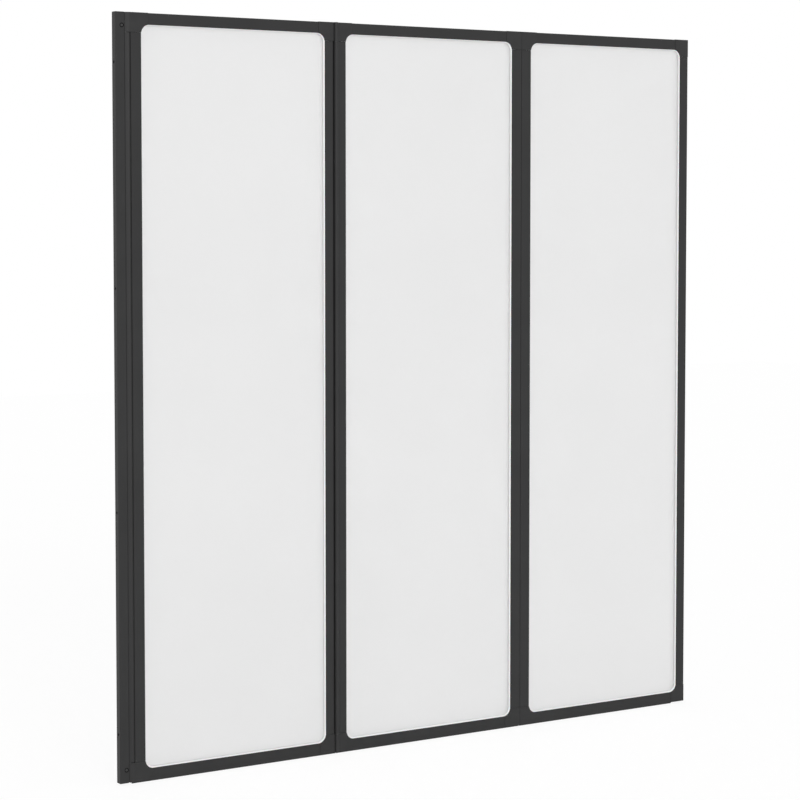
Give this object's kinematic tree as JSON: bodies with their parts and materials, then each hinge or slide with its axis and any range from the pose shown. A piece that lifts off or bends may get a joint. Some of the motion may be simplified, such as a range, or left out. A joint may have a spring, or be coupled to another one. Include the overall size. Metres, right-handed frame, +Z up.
{
  "type": "shower screen",
  "caption": "Folding bath screen: framed satin glass panels hinged like a concertina on a wall profile, with black frames and rounded corner blocks.",
  "frame": {"origin": "wall face of the wall profile, in the middle of its depth, at its foot", "axes": "+X from the wall to the free end, +Y from the room side to the bath side, +Z up"},
  "size_m": [1.3, 0.0234, 1.3798],
  "materials": {
    "frame": "matt black powder coat",
    "block": "matt black moulded nylon",
    "glass": "satin, toughened",
    "gasket": "milky soft PVC",
    "seal": "matt black soft PVC",
    "screw": "blackened stainless steel, cross recess",
    "pin": "ground stainless steel",
    "bush": "black acetal"
  },
  "bodies": {
    "wall_side": {"wall_profile": "frame", "hinge_post": "frame", "profile_top_cap": "block", "profile_foot_cap": "block", "post_screws": "screw", "wall_hinge_bushes": "bush"},
    "panel_1": {"panel_1_left_stile": "frame", "panel_1_right_stile": "frame", "panel_1_bottom_rail": "frame", "panel_1_top_rail": "frame", "panel_1_bottom_left_corner": "block", "panel_1_bottom_right_corner": "block", "panel_1_top_left_corner": "block", "panel_1_top_right_corner": "block", "panel_1_glass": "glass", "panel_1_gasket": "gasket", "panel_1_bottom_seal": "seal", "panel_1_corner_screws": "screw", "wall_hinge_pins": "pin", "wall_hinge_seal": "seal", "fold_hinge_1_pins": "pin"},
    "panel_2": {"panel_2_left_stile": "frame", "panel_2_right_stile": "frame", "panel_2_bottom_rail": "frame", "panel_2_top_rail": "frame", "panel_2_bottom_left_corner": "block", "panel_2_bottom_right_corner": "block", "panel_2_top_left_corner": "block", "panel_2_top_right_corner": "block", "panel_2_glass": "glass", "panel_2_gasket": "gasket", "panel_2_bottom_seal": "seal", "panel_2_corner_screws": "screw", "fold_hinge_1_bushes": "bush", "fold_hinge_2_pins": "pin"},
    "panel_3": {"panel_3_left_stile": "frame", "panel_3_right_stile": "frame", "panel_3_bottom_rail": "frame", "panel_3_top_rail": "frame", "panel_3_bottom_left_corner": "block", "panel_3_bottom_right_corner": "block", "panel_3_top_left_corner": "block", "panel_3_top_right_corner": "block", "panel_3_glass": "glass", "panel_3_gasket": "gasket", "panel_3_bottom_seal": "seal", "panel_3_corner_screws": "screw", "fold_hinge_2_bushes": "bush"}
  },
  "joints": [
    {"name": "wall_hinge", "type": "hinge", "parent": "wall_side", "child": "panel_1", "pos_m": [0.0222, -0.0002, 0.6885], "axis": [0, 0, 1], "range_deg": [0, 90]},
    {"name": "fold_hinge_1", "type": "hinge", "parent": "panel_1", "child": "panel_2", "pos_m": [0.4524, -0.008, 0.6885], "axis": [0, 0, 1], "range_deg": [-180, 0]},
    {"name": "fold_hinge_2", "type": "hinge", "parent": "panel_2", "child": "panel_3", "pos_m": [0.8793, 0.008, 0.6885], "axis": [0, 0, 1], "range_deg": [0, 180]}
  ]
}
